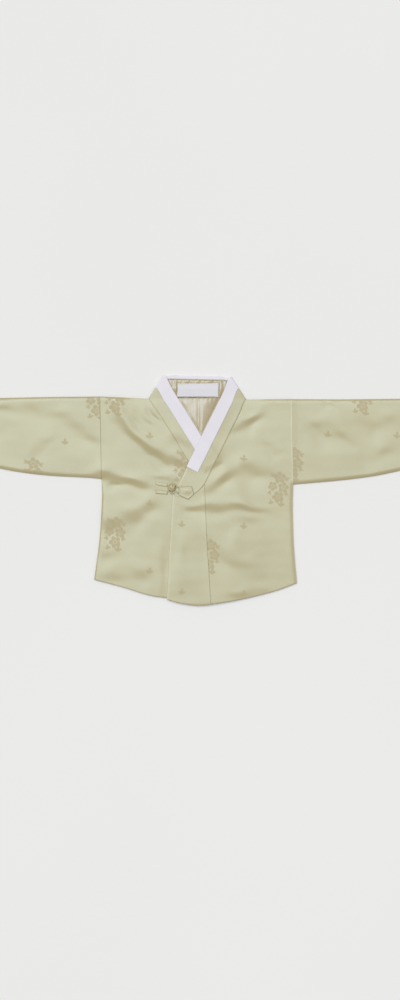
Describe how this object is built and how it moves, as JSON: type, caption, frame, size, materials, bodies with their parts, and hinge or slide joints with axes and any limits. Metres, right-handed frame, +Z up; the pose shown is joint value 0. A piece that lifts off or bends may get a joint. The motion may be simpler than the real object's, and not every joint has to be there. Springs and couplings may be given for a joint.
{
  "type": "korean hanbok jeogori jacket",
  "caption": "Small satin jacket laid flat and fastened: long straight sleeves, lapped fronts, white-edged V collar band, knot button with loop and gathered lining inside the neck.",
  "frame": {"origin": "on the surface the jacket lies on, under the middle of the whole jacket", "axes": "+X to the viewer's right along the sleeves, which is the wearer's left; +Y from the hem to the neck; +Z up from the surface, out of the jacket's front"},
  "size_m": [0.711, 0.3456, 0.0126],
  "materials": {
    "satin": "pale sage-gold silk satin with tone-on-tone woven flowers",
    "white_strip": "stiff matt white cotton over an interlining",
    "lining": "thin glossy pale-gold lining satin",
    "label": "blank white woven label"
  },
  "bodies": {
    "root": {"back_right": "satin", "back_left": "satin", "front_right": "satin", "front_left": "satin", "inner_lap": "satin", "outer_lap": "satin", "sleeve_right": "satin", "sleeve_left": "satin", "collar_band": "satin", "collar_strip": "white_strip", "neck_lining": "lining", "neck_facing": "lining", "label": "label", "knot": "satin", "knot_cord_upper": "satin", "knot_cord_lower": "satin", "button_loop": "satin", "loop_tab": "satin"}
  },
  "joints": []
}
